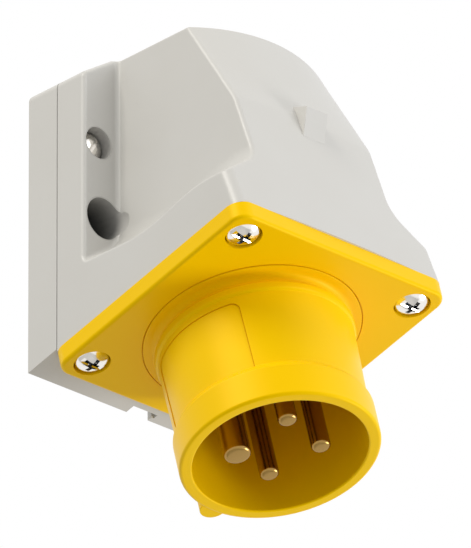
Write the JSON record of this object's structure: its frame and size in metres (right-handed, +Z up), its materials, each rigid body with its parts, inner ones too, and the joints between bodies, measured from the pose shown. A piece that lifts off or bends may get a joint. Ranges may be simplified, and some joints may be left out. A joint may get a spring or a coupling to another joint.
{
  "type": "wall_mounted_power_inlet",
  "caption": "Grey wall box with sloping shoulders that holds a tilted yellow round pin inlet, for a fixed cable",
  "frame": {"origin": "on the wall, midway between the two wall screws", "axes": "+Z up, +Y into the wall, +X to the right of someone who faces the wall"},
  "size_m": [0.071, 0.0788, 0.1226],
  "materials": {
    "housing": "satin light grey moulding",
    "yellow": "satin yellow moulding",
    "insulator": "matt dark yellow moulding",
    "seal": "matt black",
    "grommet": "matt grey",
    "contact": "turned and polished",
    "brass": "turned",
    "screw": "bright plated steel"
  },
  "bodies": {
    "root": {"back_box": "housing", "hood": "housing", "box_seal": "seal", "inlet_shell": "yellow", "flange_seal": "seal", "contact_carrier": "insulator", "carrier_seal": "seal", "pin_retainer": "insulator", "earth_pin": "contact", "phase_pin_1": "contact", "phase_pin_2": "contact", "phase_pin_3": "contact", "flange_screws": "screw", "hood_screws": "screw", "carrier_screws": "screw", "retainer_screws": "screw", "clamp_screws": "screw", "flange_screw_inserts": "brass", "hood_screw_inserts": "brass", "entry_grommet": "grommet"}
  },
  "joints": []
}
